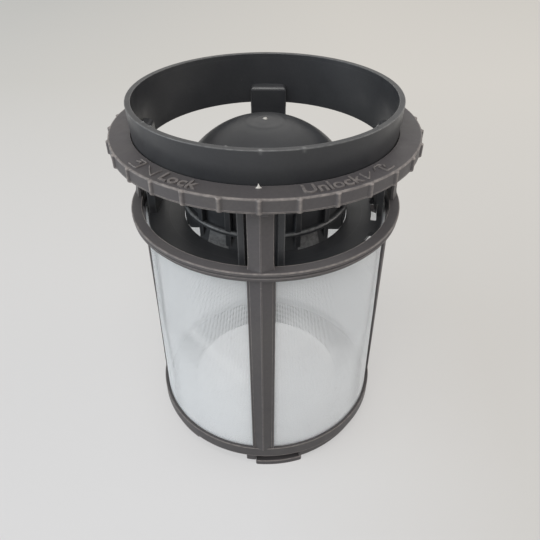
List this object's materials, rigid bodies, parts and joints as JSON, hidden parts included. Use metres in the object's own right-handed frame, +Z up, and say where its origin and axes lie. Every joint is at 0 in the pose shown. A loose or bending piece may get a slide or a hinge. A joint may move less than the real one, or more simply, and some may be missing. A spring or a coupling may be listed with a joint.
{
  "type": "dishwasher filter",
  "caption": "Cylindrical dishwasher sump filter: a ribbed bayonet frame with a fine mesh sleeve and a lift-out coarse insert with a domed cage.",
  "frame": {"origin": "the filter's axis at the level its four bayonet feet stand on", "axes": "+Z up along the filter's axis, -Y towards the post that faces the viewer, +X to the viewer's right"},
  "size_m": [0.0954, 0.0958, 0.129],
  "materials": {
    "frame_plastic": "fine moulded texture",
    "mesh_white": "fine woven synthetic mesh",
    "insert_plastic": "satin moulded"
  },
  "bodies": {
    "frame": {"filter_frame": "frame_plastic", "mesh_sleeve": "mesh_white"},
    "insert": {"coarse_insert": "insert_plastic"}
  },
  "joints": [
    {"name": "insert_lift", "type": "slide", "parent": "frame", "child": "insert", "axis": [0, 0, 1], "range_m": [0, 0.045]}
  ]
}
